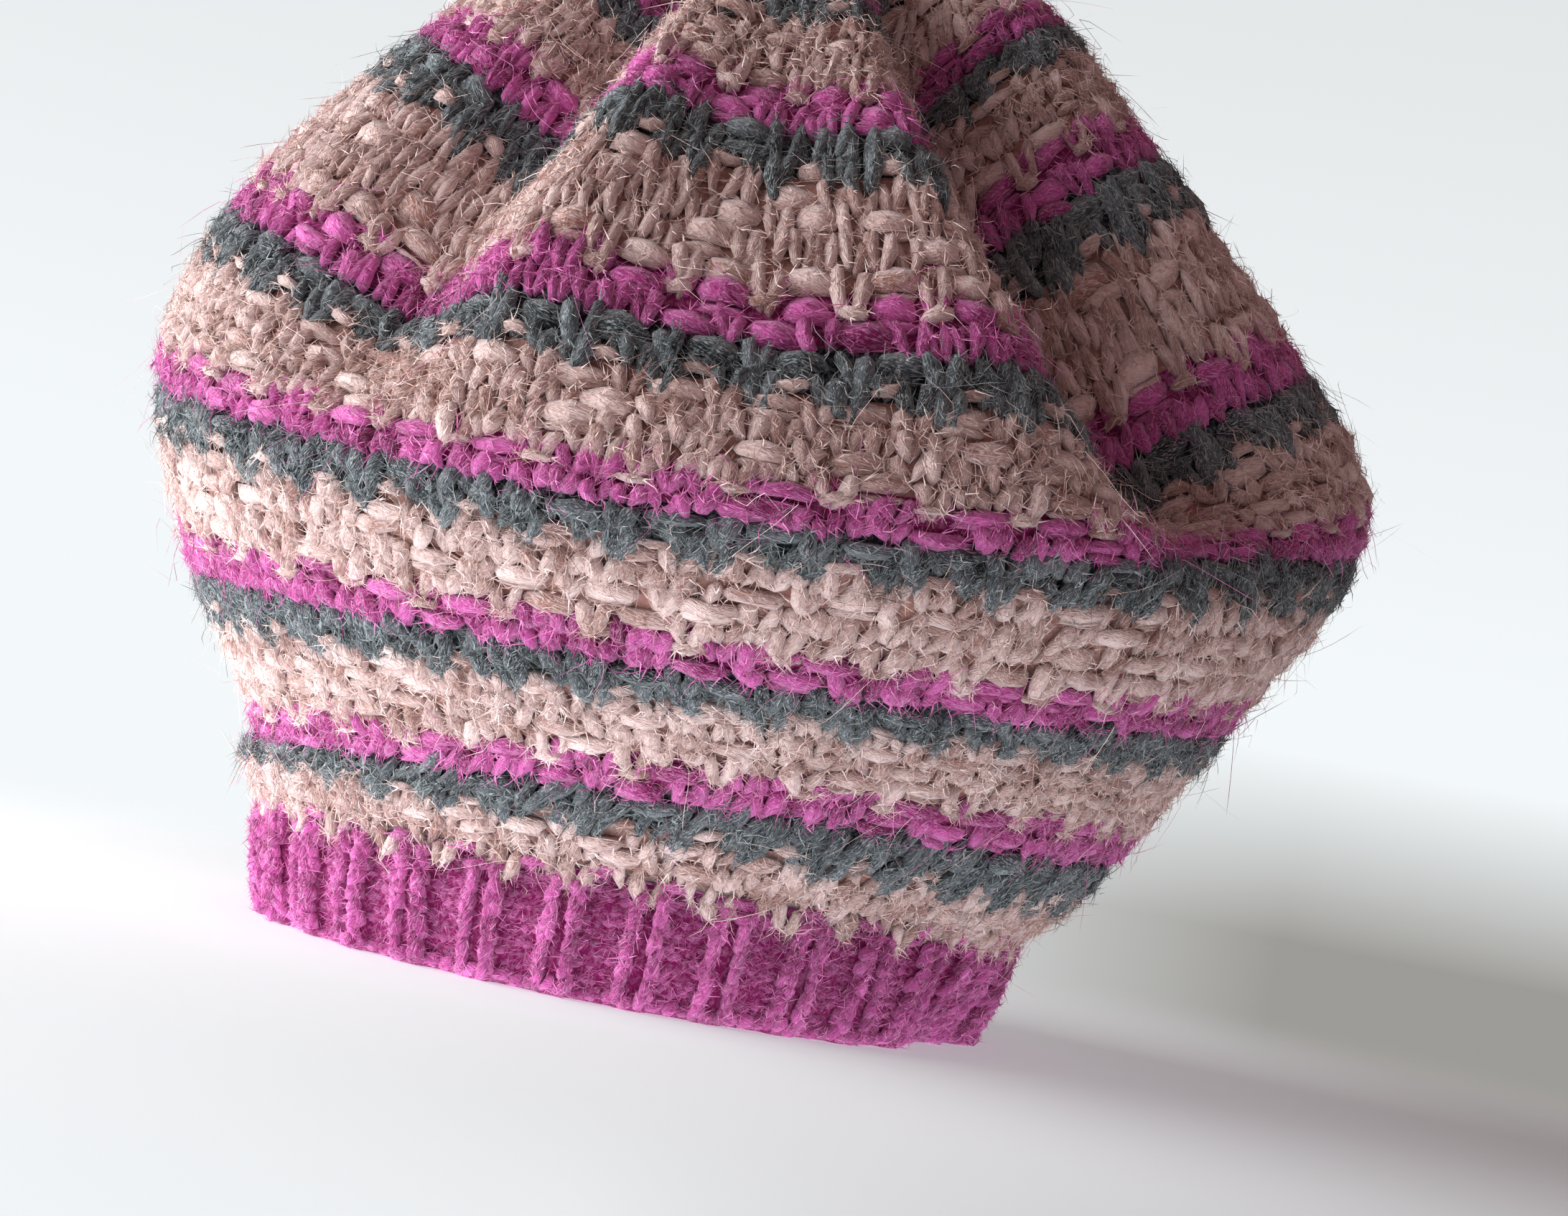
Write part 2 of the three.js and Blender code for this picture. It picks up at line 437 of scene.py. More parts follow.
@dataclass
class BandShape:
    """The ribbed band's outer face, with its pairs of ribs and its small tuck.

    The ribs' places are shares of the width of a pair, and the tuck's angles are in degrees.
    """

    centre: Vector
    radius: float
    height: float
    rib_pairs: int = 32
    rib_depth: float = 2 * MM
    draw_in: float = 4 * MM
    tuck_azimuth: float = 64.0
    tuck_half_width: float = 13.0
    tuck_depth: float = 9 * MM
    rib_middle: float = 0.21
    rib_reach: float = 0.17
    rib_shoulder: float = 0.07
    rib_slope: float = 0.10

    def rise(self, azimuth: np.ndarray) -> np.ndarray:
        """Tells the ribs from the valleys.

        Args:
            azimuth: Angles from the front towards the right.

        Returns:
            The ribs' rise, 0 in a valley and 1 on a pair of ribs.
        """
        share = np.mod(azimuth / (2 * math.pi) * self.rib_pairs, 1.0)
        away = np.abs((share - self.rib_middle + 0.5) % 1.0 - 0.5)
        return smooth_step((self.rib_reach + self.rib_shoulder - away) / self.rib_slope)

    def face(self, azimuth: np.ndarray, up: np.ndarray) -> np.ndarray:
        """Lays out the band's outer face.

        Args:
            azimuth: Angles from the front towards the right.
            up: Shares of the band's height.

        Returns:
            The points.
        """
        middle = math.radians(self.tuck_azimuth)
        turn = (azimuth - middle + math.pi) % (2 * math.pi) - math.pi
        tuck = self.tuck_depth * np.exp(-((turn / math.radians(self.tuck_half_width)) ** 2))
        reach = self.radius - self.draw_in * (1 - up) ** 2 - tuck * (1 - up)
        reach = reach - self.rib_depth * (1 - self.rise(azimuth))
        x = reach * np.sin(azimuth) + self.centre.x
        y = -reach * np.cos(azimuth) + self.centre.y
        return np.stack([x, y, self.height * up + 0 * x], axis=-1)


def band_cloth(shape: BandShape) -> Cloth:
    """Samples the band.

    Args:
        shape: The band's outer face.

    Returns:
        The band as cloth.
    """
    up = np.linspace(0.0, 1.0, BAND_CLOTH_ROWS)[:, None]
    azimuth = np.linspace(-math.pi, math.pi, BAND_CLOTH_COLUMNS)[None, :]
    points = shape.face(azimuth, up)
    points[:, -1] = points[:, 0]
    return Cloth(points, grid_normals(points))


def mesh_piece(
    name: str, bm: bmesh.types.BMesh, finishes: Sequence[bpy.types.Material]
) -> bpy.types.Object:
    """Makes a smooth object of a finished bmesh and puts it in the scene.

    Args:
        name: The piece's name.
        bm: The finished mesh, which is freed.
        finishes: Its materials, in the order of the yarns.

    Returns:
        The new object.
    """
    mesh = bpy.data.meshes.new(name)
    bm.to_mesh(mesh)
    bm.free()
    return shown(name, mesh, finishes)


def shown(
    name: str, mesh: bpy.types.Mesh, finishes: Sequence[bpy.types.Material]
) -> bpy.types.Object:
    """Puts a mesh in the scene with its materials, shaded smooth.

    Args:
        name: The piece's name.
        mesh: The mesh.
        finishes: Its materials, in the order of the yarns.

    Returns:
        The new object.
    """
    for finish in finishes:
        mesh.materials.append(finish)
    mesh.shade_smooth()
    piece = bpy.data.objects.new(name, mesh)
    bpy.context.scene.collection.objects.link(piece)
    return piece


@dataclass
class Template:
    """A small mesh that is repeated: its points and its triangles."""

    points: np.ndarray
    faces: np.ndarray

    @staticmethod
    def from_bmesh(bm: bmesh.types.BMesh) -> "Template":
        """Takes a template from a bmesh.

        Args:
            bm: The mesh, which is cut into triangles and freed.

        Returns:
            The template.
        """
        bmesh.ops.triangulate(bm, faces=bm.faces)
        bm.verts.index_update()
        points = np.array([vert.co[:] for vert in bm.verts])
        faces = np.array([[vert.index for vert in face.verts] for face in bm.faces])
        bm.free()
        return Template(points, faces)


def plump_template(sides: int, rings: int) -> Template:
    """Makes a plump length of yarn one unit long and one thick, lying along Y.

    Args:
        sides: Faces round the yarn.
        rings: Faces from end to end.

    Returns:
        The template, from 0 to 1 along Y, with X and Z from -0.5 to 0.5.
    """
    fullness = 0.72
    bm = bmesh.new()
    bmesh.ops.create_uvsphere(bm, u_segments=sides, v_segments=rings, radius=0.5)
    turn = Matrix.Rotation(math.pi / 2, 3, "X")
    bmesh.ops.rotate(bm, verts=bm.verts, cent=(0, 0, 0), matrix=turn)
    for vert in bm.verts:
        reach = math.hypot(vert.co.x, vert.co.z) * 2
        if reach > 1e-4:
            grown = reach ** fullness / reach
            vert.co.x *= grown
            vert.co.z *= grown
    bmesh.ops.translate(bm, verts=bm.verts, vec=(0, 0.5, 0))
    bmesh.ops.recalc_face_normals(bm, faces=bm.faces)
    return Template.from_bmesh(bm)


@dataclass
class Yarn:
    """Yarn as it lies on the hat: the points of each length, the cloth's normals, the wool."""

    placed: np.ndarray
    normal: np.ndarray
    wool: np.ndarray

    @staticmethod
    def joined(parts: Sequence["Yarn"]) -> "Yarn":
        """Joins yarns.

        Args:
            parts: The yarns.

        Returns:
            All their lengths as one yarn.
        """
        return Yarn(
            np.concatenate([part.placed for part in parts]),
            np.concatenate([part.normal for part in parts]),
            np.concatenate([part.wool for part in parts]))


@dataclass
class Lay:
    """Lengths of yarn to lay on a cloth, each array with a value for each length.

    A cell is one stitch wide and one row high. across and rise place the foot of the length in
    its cell, lean is how far its head lies across from its foot, reach how far up, and curve
    how far its middle bends aside, all in cells. width is in cells too, and thick, lift and
    bow are in metres.
    """

    turn: np.ndarray
    up: np.ndarray
    cell_turn: np.ndarray
    cell_up: np.ndarray
    across: np.ndarray
    rise: np.ndarray
    lean: np.ndarray
    reach: np.ndarray
    curve: np.ndarray
    width: np.ndarray
    thick: np.ndarray
    lift: np.ndarray
    bow: np.ndarray
    taper: np.ndarray
    wool: np.ndarray

    @staticmethod
    def joined(parts: Sequence["Lay"]) -> "Lay":
        """Joins lays.

        Args:
            parts: The lays.

        Returns:
            All their lengths as one lay.
        """
        names = list(Lay.__dataclass_fields__)
        return Lay(**{
            name: np.concatenate([getattr(part, name) for part in parts]) for name in names})

    def spread(
        self, template: Template, cloth: Cloth, rng: np.random.Generator, roughness: float
    ) -> tuple[Yarn, np.ndarray]:
        """Places a template once for each length.

        Args:
            template: The plump length to repeat.
            cloth: The cloth that it lies on.
            rng: The source of the yarn's unevenness.
            roughness: How far each point strays, in metres.

        Returns:
            The yarn, and for each point the place that its fibres are drawn by.
        """
        x, y, z = (template.points[None, :, axis] for axis in range(3))
        along_x = self.lean[:, None]
        along_y = self.reach[:, None]
        length = np.hypot(along_x, along_y)
        side_x = along_y / length
        side_y = -along_x / length
        dip = 1.0 - (2.0 * y - 1.0) ** 2
        slim = 1.0 + self.taper[:, None] * (y - 0.5)
        aside = x * self.width[:, None] * slim + self.curve[:, None] * dip
        px = self.across[:, None] + along_x * y + side_x * aside
        py = self.rise[:, None] + along_y * y + side_y * aside
        pz = self.lift[:, None] + self.bow[:, None] * dip + z * self.thick[:, None] * slim
        turn = self.turn[:, None] + px * self.cell_turn[:, None]
        up = self.up[:, None] + py * self.cell_up[:, None]
        points, normals = cloth.at(turn, up)
        placed = points + normals * pz[..., None]
        placed = placed + rng.normal(0.0, roughness, placed.shape)
        twist = FIBRE_TWIST * y + rng.uniform(0, 2 * math.pi, (len(self.turn), 1))
        fibre = np.stack([
            x * np.cos(twist) - z * np.sin(twist), y * (length / USUAL_LENGTH),
            x * np.sin(twist) + z * np.cos(twist)], axis=-1)
        yarn = Yarn(placed, normals.mean(axis=1), self.wool)
        return yarn, fibre + rng.uniform(0.0, PATTERN_REACH, (len(self.turn), 1, 3))


def arrayed_piece(
    name: str, template: Template, placed: np.ndarray, fibre: np.ndarray | None,
    wool: np.ndarray, shade: np.ndarray, finishes: Sequence[bpy.types.Material],
) -> bpy.types.Object:
    """Joins copies of a template into one piece.

    Args:
        name: The piece's name.
        template: The repeated mesh.
        placed: The points of each copy.
        fibre: The place in the yarn of each point, or None.
        wool: The number of each copy's yarn.
        shade: How light each copy is, about 0 to 1.
        finishes: The materials, in the order of the yarns.

    Returns:
        The new object, with fibre and shade attributes.
    """
    copies, corners = placed.shape[:2]
    faces = template.faces[None] + (np.arange(copies) * corners)[:, None, None]
    mesh = bpy.data.meshes.new(name)
    mesh.from_pydata(placed.reshape(-1, 3), [], faces.reshape(-1, template.faces.shape[1]))
    material = np.repeat(wool, len(template.faces)).astype(np.int32)
    mesh.polygons.foreach_set("material_index", material)
    if fibre is not None:
        places = mesh.attributes.new("fibre", "FLOAT_VECTOR", "POINT")
        places.data.foreach_set("vector", fibre.reshape(-1))
    shades = mesh.attributes.new("shade", "FLOAT", "POINT")
    shades.data.foreach_set("value", np.repeat(shade, corners))
    mesh.update()
    return shown(name, mesh, finishes)


def with_painted_shade(piece: bpy.types.Object) -> bpy.types.Object:
    """Paints a ground in its wool's deep colour, as painted shade on the yarn between the stitches.

    Args:
        piece: The ground.

    Returns:
        The same piece.
    """
    shades = piece.data.attributes.new("shade", "FLOAT", "POINT")
    shades.data.foreach_set("value", np.full(len(piece.data.vertices), GROUND_PAINTED_SHADE))
    return piece


@dataclass(frozen=True)
class Stroke:
    """How one kind of length lies in its stitch, in cells, with its thickness in metres."""

    across: float
    rise: float
    lean: float
    reach: float
    width: float
    thick: float
    proud: float
    bow: float
    curve: float = 0.0
    taper: float = 0.0


PLAIN_LEG = Stroke(0.08, -0.25, 0.36, 1.42, 0.58, 3.1 * MM, 0.0, 0.6 * MM, 0.05, 0.45)
DRAWN_LEG = Stroke(0.06, -0.85, 0.38, 1.90, 0.62, 3.4 * MM, 0.4 * MM, 0.7 * MM, 0.06, 0.35)
HANGING_LEG = Stroke(0.10, -0.70, 0.34, 1.50, 0.66, 3.4 * MM, 0.9 * MM, 0.6 * MM, 0.06, 0.15)
STRAND = Stroke(-0.50, 0.50, 2.00, 0.0, 0.92, 3.2 * MM, 0.1 * MM, 0.5 * MM)
UNDER_STRAND = Stroke(-0.40, 0.10, 1.80, 0.0, 0.50, 2.4 * MM, -0.7 * MM, 0.2 * MM)
DASH = Stroke(-0.60, 0.42, 1.20, 0.0, 0.52, 2.4 * MM, 0.2 * MM, 0.5 * MM)
TUCK_LEG = Stroke(0.20, 0.30, 0.18, 0.95, 0.44, 2.6 * MM, -0.5 * MM, 0.4 * MM, 0.0, 0.2)

# Lengths of the band, whose cell is one pair of ribs wide and as high as the band
RIB_LEG = Stroke(-0.030, 0.0, 0.03, 0.19, 0.125, 2.8 * MM, 1.3 * MM, 0.4 * MM)
RIB_CROSSING = Stroke(0.055, 0.05, -0.03, 0.19, 0.125, 2.8 * MM, 1.1 * MM, 0.4 * MM)
PURL_BUMP = Stroke(0.0, 0.0, 0.19, 0.03, 0.095, 2.0 * MM, -0.7 * MM, 0.4 * MM)
CAST_ON_BUMP = Stroke(0.0, 0.035, 0.25, 0.05, 0.130, 2.9 * MM, 0.5 * MM, 0.4 * MM)
JOIN_BUMP = Stroke(0.0, 0.95, 0.25, 0.05, 0.130, 2.9 * MM, 0.4 * MM, 0.4 * MM)


@dataclass(frozen=True)
class Unevenness:
    """How far lengths stray: places in cells, lift and bow in metres, the rest as factors."""

    across: float
    rise: float
    lean: float
    reach: float
    curve: float
    lift: float
    thick: tuple[float, float]
    width: tuple[float, float]
    bow: float = 0.0
    taper: float = 0.0


CROWN_UNEVENNESS = Unevenness(
    across=0.07, rise=0.10, lean=0.07, reach=0.15, curve=0.08, lift=0.30 * MM,
    thick=(0.80, 1.20), width=(0.82, 1.22), bow=0.12 * MM, taper=0.10)
BAND_UNEVENNESS = Unevenness(
    across=0.012, rise=0.012, lean=0.015, reach=0.012, curve=0.008, lift=0.15 * MM,
    thick=(0.86, 1.14), width=(0.86, 1.14))


@dataclass
class CrownKnit:
    """The crown: its ground, its stitches row by row and its strands."""

    cloth: Cloth
    finishes: Sequence[bpy.types.Material]
    seed: int = 11
    ground_depth: float = 2.3 * MM
    ground_columns: int = 100
    ground_steps: int = 2
    purl_ridge: float = 0.5 * MM
    roughness: float = 0.16 * MM
    split_strands: float = 0.40
    uneven: Unevenness = CROWN_UNEVENNESS
    template: Template = field(default_factory=lambda: plump_template(5, 4))

    def lay(
        self, turn: np.ndarray, row: int, count: int, wool: Wool, stroke: Stroke, side: float,
        rng: np.random.Generator,
    ) -> Lay:
        """Returns uneven copies of one kind of length in one row.

        Args:
            turn: The middles of the stitches that hold one.
            row: The row.
            count: The stitches round the row.
            wool: The yarn.
            stroke: How it lies.
            side: 1 as given, -1 mirrored across its stitch, 0 for a strand, which only tilts.
            rng: The source of unevenness.

        Returns:
            The lay.
        """
        n = len(turn)

        def strayed(value: float, spread: float) -> np.ndarray:
            """Returns a value with a little unevenness added."""
            return value + rng.normal(0.0, spread, n)

        flip = side if side else 1.0
        uneven = self.uneven
        thick = stroke.thick * rng.uniform(*uneven.thick, n)
        return Lay(
            turn=turn, up=np.full(n, FIRST_ROW_START + row * ROW_PITCH),
            cell_turn=np.full(n, 1.0 / count), cell_up=np.full(n, ROW_PITCH),
            across=strayed(flip * stroke.across, uneven.across),
            rise=strayed(stroke.rise, uneven.rise),
            lean=strayed(flip * stroke.lean, uneven.lean),
            reach=strayed(stroke.reach, uneven.reach),
            curve=strayed(flip * stroke.curve, uneven.curve),
            width=stroke.width * rng.uniform(*uneven.width, n), thick=thick,
            lift=stroke.proud - stroke.bow - thick / 2 + rng.normal(0.0, uneven.lift, n),
            bow=strayed(stroke.bow, uneven.bow), taper=strayed(stroke.taper, uneven.taper),
            wool=np.full(n, wool.value))

    def stitches(self, row: int, rng: np.random.Generator) -> list[Lay]:
        """Returns the lengths of yarn in one row.

        Args:
            row: The row, counted from the band.
            rng: The source of the small unevenness of hand knitting.

        Returns:
            The lays of its legs, strands and dashes.
        """
        chart = chart_row(row)
        count = repeats_in(row) * CHART_COLUMNS
        kinds = np.array(list(chart.stitches * repeats_in(row)))
        strands = kinds == Stitch.UNDER_A_STRAND.value
        split = np.flatnonzero(strands & (rng.uniform(0, 1, count) < self.split_strands))
        kinds[split] = Stitch.PLAIN.value
        kinds[(split + 1) % count] = Stitch.PLAIN.value
        turn = (np.arange(count) + 0.5) / count
        lays = []
        drawn = HANGING_LEG if row == 0 else DRAWN_LEG
        for kind, stroke in (
            (Stitch.PLAIN, PLAIN_LEG), (Stitch.DRAWN_DOWN, drawn), (Stitch.DASHED, TUCK_LEG),
        ):
            here = turn[kinds == kind.value]
            for side in (-1.0, 1.0):
                lays.append(self.lay(here, row, count, chart.wool, stroke, side, rng))
        for kind, stroke, wool in (
            (Stitch.UNDER_A_STRAND, STRAND, chart.wool),
            (Stitch.UNDER_A_STRAND, UNDER_STRAND, chart.wool),
            (Stitch.DASHED, DASH, chart.other),
        ):
            here = turn[kinds == kind.value]
            lays.append(self.lay(here, row, count, wool, stroke, 0.0, rng))
        return lays

    def knit(self, first: int, last: int) -> tuple[bpy.types.Object, Yarn]:
        """Knits some rows as one piece.

        Args:
            first: The lowest row.
            last: The highest row.

        Returns:
            The piece, and its yarn.
        """
        rng = np.random.default_rng(self.seed + first)
        lays = [lay for row in range(first, last + 1) for lay in self.stitches(row, rng)]
        yarn, fibre = Lay.joined(lays).spread(self.template, self.cloth, rng, self.roughness)
        shade = rng.uniform(0.0, 1.0, len(yarn.wool))
        name = f"crown_rows_{first:02d}_{last:02d}"
        piece = arrayed_piece(
            name, self.template, yarn.placed, fibre, yarn.wool, shade, self.finishes)
        return piece, yarn

    def ground(self) -> bpy.types.Object:
        """Makes the wall of knitting under the stitches, with the purl ridges inside it.

        Returns:
            The wall.
        """
        face_rows = CROWN_ROWS * self.ground_steps
        rows = face_rows * 2
        bm = bmesh.new()
        bmesh.ops.create_grid(
            bm, x_segments=self.ground_columns, y_segments=rows, size=0.5,
            matrix=Matrix.Translation((0.5, 0.5, 0)))
        flat = np.array([vert.co[:] for vert in bm.verts])
        turn = np.round(flat[:, 0] * self.ground_columns) / self.ground_columns
        step = np.round(flat[:, 1] * rows).astype(int)
        inside = step > face_rows
        up = np.clip(np.where(inside, step / face_rows - 1.0, 1.0 - step / face_rows), 0.0, 1.0)
        points, normals = self.cloth.at(turn, up)
        ridge = self.purl_ridge * np.sin(math.pi * up / ROW_PITCH) ** 2
        depth = np.where(inside, WALL - ridge, self.ground_depth)
        for vert, place in zip(bm.verts, points - normals * depth[:, None]):
            vert.co = place
        for face in bm.faces:
            middle = float(np.mean([up[vert.index] for vert in face.verts]))
            row = int((middle - FIRST_ROW_START) / ROW_PITCH)
            face.material_index = chart_row(min(row, CROWN_ROWS - 1)).wool.value
        bmesh.ops.remove_doubles(bm, verts=bm.verts, dist=SEAM)
        bmesh.ops.recalc_face_normals(bm, faces=bm.faces)
        # The wall is painted in the deep colours, as painted shade between the stitches
        return with_painted_shade(mesh_piece("crown_ground", bm, self.finishes))


@dataclass
class BandKnit:
    """The ribbed band: its ground, its pairs of ribs, its purl bumps and its edge.

    Places across are shares of the width of a pair of ribs, and heights shares of the band's.
    """

    cloth: Cloth
    shape: BandShape
    finishes: Sequence[bpy.types.Material]
    seed: int = 5
    rib_rows: int = 8
    rib_foot: float = 0.01
    rib_height: float = 0.97
    rib_spread: float = 0.215
    rib_closing: float = 0.085
    right_rib: float = 0.135
    left_slant: float = 0.035
    purl_rows: int = 9
    purl_foot: float = 0.06
    purl_height: float = 0.92
    purl_columns: int = 4
    purl_start: float = 0.40
    purl_step: float = 0.135
    edge_bumps: int = 5
    ground_columns: int = 640
    ground_rows: int = 5
    ground_depth: float = 1.2 * MM
    roughness: float = 0.08 * MM
    uneven: Unevenness = BAND_UNEVENNESS
    template: Template = field(default_factory=lambda: plump_template(6, 4))

    def lay(
        self, share: float, up: float, stroke: Stroke, rng: np.random.Generator,
        slant: float = 0.0,
    ) -> Lay:
        """Returns uneven copies of one length, one for each pair of ribs.

        Args:
            share: Where the length's place is across the pair.
            up: How high its place is, as a share of the band.
            stroke: How it lies there.
            rng: The source of unevenness.
            slant: How much further across its head lies than the stroke's.

        Returns:
            The lay.
        """
        pairs = self.shape.rib_pairs
        uneven = self.uneven
        zero = np.zeros(pairs)
        full = stroke.thick * rng.uniform(*uneven.thick, pairs)
        return Lay(
            turn=np.mod((np.arange(pairs) + share + stroke.across) / pairs + 0.5, 1.0),
            up=zero + up + stroke.rise, cell_turn=zero + 1 / pairs, cell_up=zero + 1,
            across=rng.normal(0, uneven.across, pairs), rise=rng.normal(0, uneven.rise, pairs),
            lean=stroke.lean + slant + rng.normal(0, uneven.lean, pairs),
            reach=stroke.reach + rng.normal(0, uneven.reach, pairs),
            curve=rng.normal(0, uneven.curve, pairs),
            width=stroke.width * rng.uniform(*uneven.width, pairs), thick=full,
            lift=stroke.proud - stroke.bow - full / 2 + rng.normal(0, uneven.lift, pairs),
            bow=zero + stroke.bow, taper=zero, wool=np.full(pairs, Wool.MAGENTA.value))

    def ribs(self, rng: np.random.Generator) -> list[Lay]:
        """Plaits the two ribs of every pair, which spread towards the lower edge.

        Args:
            rng: The source of unevenness.

        Returns:
            The lays.
        """
        lays = []
        for row in range(self.rib_rows):
            up = self.rib_foot + row * (self.rib_height / self.rib_rows)
            spread = self.rib_spread - self.rib_closing * up
            left = self.shape.rib_middle - spread
            right = self.shape.rib_middle + self.right_rib
            for share, slant in ((left, self.left_slant), (right, 0.0)):
                lays.append(self.lay(share, up, RIB_LEG, rng, slant))
                lays.append(self.lay(share, up, RIB_CROSSING, rng, slant))
        return lays

    def purls(self, rng: np.random.Generator) -> list[Lay]:
        """Lays the flat bumps in the valleys.

        Args:
            rng: The source of unevenness.

        Returns:
            The lays.
        """
        lays = []
        for row in range(self.purl_rows):
            up = self.purl_foot + row * (self.purl_height / self.purl_rows)
            for column in range(self.purl_columns):
                share = self.purl_start + (column + 0.5 * (row % 2)) * self.purl_step
                lays.append(self.lay(share, up, PURL_BUMP, rng))
        return lays

    def edge(self, rng: np.random.Generator) -> list[Lay]:
        """Lays the leaning bumps along the cast-on edge and under the crown.

        Args:
            rng: The source of unevenness.

        Returns:
            The lays.
        """
        lays = []
        for bump in range(self.edge_bumps):
            for stroke in (CAST_ON_BUMP, JOIN_BUMP):
                lays.append(self.lay(bump / self.edge_bumps, 0.0, stroke, rng))
        return lays

    def knit(self) -> tuple[bpy.types.Object, Yarn]:
        """Knits the whole band as one piece.

        Returns:
            The piece, and its yarn.
        """
        rng = np.random.default_rng(self.seed)
        lays = Lay.joined([*self.ribs(rng), *self.purls(rng), *self.edge(rng)])
        yarn, fibre = lays.spread(self.template, self.cloth, rng, self.roughness)
        yarn.placed[..., 2] = np.maximum(yarn.placed[..., 2], EDGE_GAP)
        shade = rng.uniform(0.0, 1.0, len(yarn.wool))
        piece = arrayed_piece(
            "band_knit", self.template, yarn.placed, fibre, yarn.wool, shade, self.finishes)
        return piece, yarn

    def ground(self) -> bpy.types.Object:
        """Makes the band's wall under the ribs.

        Returns:
            The wall.
        """
        columns = self.ground_columns
        face_rows = self.ground_rows
        rows = face_rows * 2 + 2
        bm = bmesh.new()
        bmesh.ops.create_grid(
            bm, x_segments=columns, y_segments=rows, size=0.5,
            matrix=Matrix.Translation((0.5, 0.5, 0)))
        flat = np.array([vert.co[:] for vert in bm.verts])
        turn = np.round(flat[:, 0] * columns) / columns
        step = np.round(flat[:, 1] * rows).astype(int) % rows
        inside = step > face_rows
        up = np.where(inside, (step - face_rows - 1) / face_rows, 1.0 - step / face_rows)
        points, _ = self.cloth.at(turn, np.clip(up, 0.0, 1.0))
        azimuth = (turn - 0.5) * 2 * math.pi
        rib = self.shape.rib_depth * self.shape.rise(azimuth)
        depth = np.where(inside, WALL - self.shape.rib_depth + rib, self.ground_depth)
        radial = np.stack([np.sin(azimuth), -np.cos(azimuth), 0 * azimuth], axis=-1)
        for vert, place in zip(bm.verts, points - radial * depth[:, None]):
            vert.co = place
        for face in bm.faces:
            face.material_index = Wool.MAGENTA.value
        bmesh.ops.remove_doubles(bm, verts=bm.verts, dist=SEAM)
        bmesh.ops.recalc_face_normals(bm, faces=bm.faces)
        # The wall is painted in the deep magenta, as painted shade between the ribs
        return with_painted_shade(mesh_piece("band_ground", bm, self.finishes))


@dataclass(frozen=True)
class Fuzz:
    """One kind of loose fibre that grows out of the yarn.

    Lengths, width, outer and sunk are in metres. stand is how steeply fibres rise, run how far
    they follow their yarn, spread how far they turn from it, and curl, wave and droop how far
    they bend, as shares of their length. Roots lie further out in the yarn than outer, and
    spare is how many are tried for each fibre that is wanted.
    """

    name: str
    count: int
    shortest: float
    longest: float
    stand: float
    curl: float
    width: float
    segments: int
    seed: int
    spare: int = 3
    outer: float = 0.4 * MM
    outward: float = 0.5
    run: tuple[float, float] = (0.3, 1.0)
    spread: float = 0.45
    unruly: float = 0.18
    stand_limits: tuple[float, float] = (0.05, 1.5)
    length_shape: tuple[float, float] = (1.3, 2.4)
    wave: float = 0.3
    wave_pace: float = 6.0
    droop: tuple[float, float] = (0.1, 0.5)
    sunk: float = 0.1 * MM

    def template(self) -> Template:
        """Makes a ribbon that narrows to a point, one unit long along Y.

        Returns:
            The template.
        """
        bm = bmesh.new()
        bmesh.ops.create_grid(
            bm, x_segments=1, y_segments=self.segments, size=0.5,
            matrix=Matrix.Translation((0, 0.5, 0)))
        for vert in bm.verts:
            if vert.co.y > 0.99:
                vert.co.x = 0.0
        bmesh.ops.remove_doubles(bm, verts=bm.verts, dist=1e-4)
        return Template.from_bmesh(bm)

    def grow(self, yarn: Yarn, finishes: Sequence[bpy.types.Material]) -> bpy.types.Object:
        """Grows fibres out of yarn, each leaning along the length that it is rooted in.

        Args:
            yarn: The yarn.
            finishes: The materials, in the order of the wools.

        Returns:
            The fibres as one piece.
        """
        rng = np.random.default_rng(self.seed)
        template = self.template()
        drawn = self.count * self.spare
        copy = rng.integers(0, len(yarn.wool), drawn)
        corner = rng.integers(0, yarn.placed.shape[1], drawn)
        away = yarn.placed[copy, corner] - yarn.placed[copy].mean(axis=1)
        normal = yarn.normal[copy]
        facing = np.flatnonzero((away * normal).sum(-1) > self.outer)[:self.count]
        copy, corner, away, normal = copy[facing], corner[facing], away[facing], normal[facing]
        n = len(copy)
        root = yarn.placed[copy, corner]
        along = unit(yarn.placed[copy, -1] - yarn.placed[copy, 0] + 1e-6)
        beside = unit(np.cross(normal, along))

        def column(values: np.ndarray) -> np.ndarray:
            """Returns one value for each fibre in the shape of its points."""
            return values[:, None, None]

        out = unit(unit(away) * self.outward + normal)
        run = rng.choice((-1.0, 1.0), n) * rng.uniform(*self.run, n)
        swing = rng.normal(0.0, self.spread, n)
        stand = np.clip(rng.normal(self.stand, self.unruly, n), *self.stand_limits)
        heading = unit(
            along * run[:, None] + beside * swing[:, None] + out * stand[:, None])
        aside = unit(np.cross(out, heading))
        x = template.points[None, :, 0, None]
        t = template.points[None, :, 1, None]
        reach = rng.beta(*self.length_shape, n)
        length = column(self.shortest + (self.longest - self.shortest) * reach)
        curl = column(rng.normal(0, self.curl, n))
        wave = column(rng.normal(0, self.curl * self.wave, n))
        droop = column(rng.uniform(*self.droop, n) * stand)
        spine = root[:, None] + heading[:, None] * length * t
        bend = curl * t**2 + wave * np.sin(self.wave_pace * t)
        spine = spine + aside[:, None] * length * bend
        spine = spine - out[:, None] * (length * droop * t**2 + self.sunk)
        turned = column(rng.uniform(0, math.pi, n))
        across = aside[:, None] * np.cos(turned) + out[:, None] * np.sin(turned)
        placed = spine + across * x * self.width
        placed[..., 2] = np.maximum(placed[..., 2], EDGE_GAP)
        shade = rng.uniform(0.0, 1.0, n)
        return arrayed_piece(self.name, template, placed, None, yarn.wool[copy], shade, finishes)


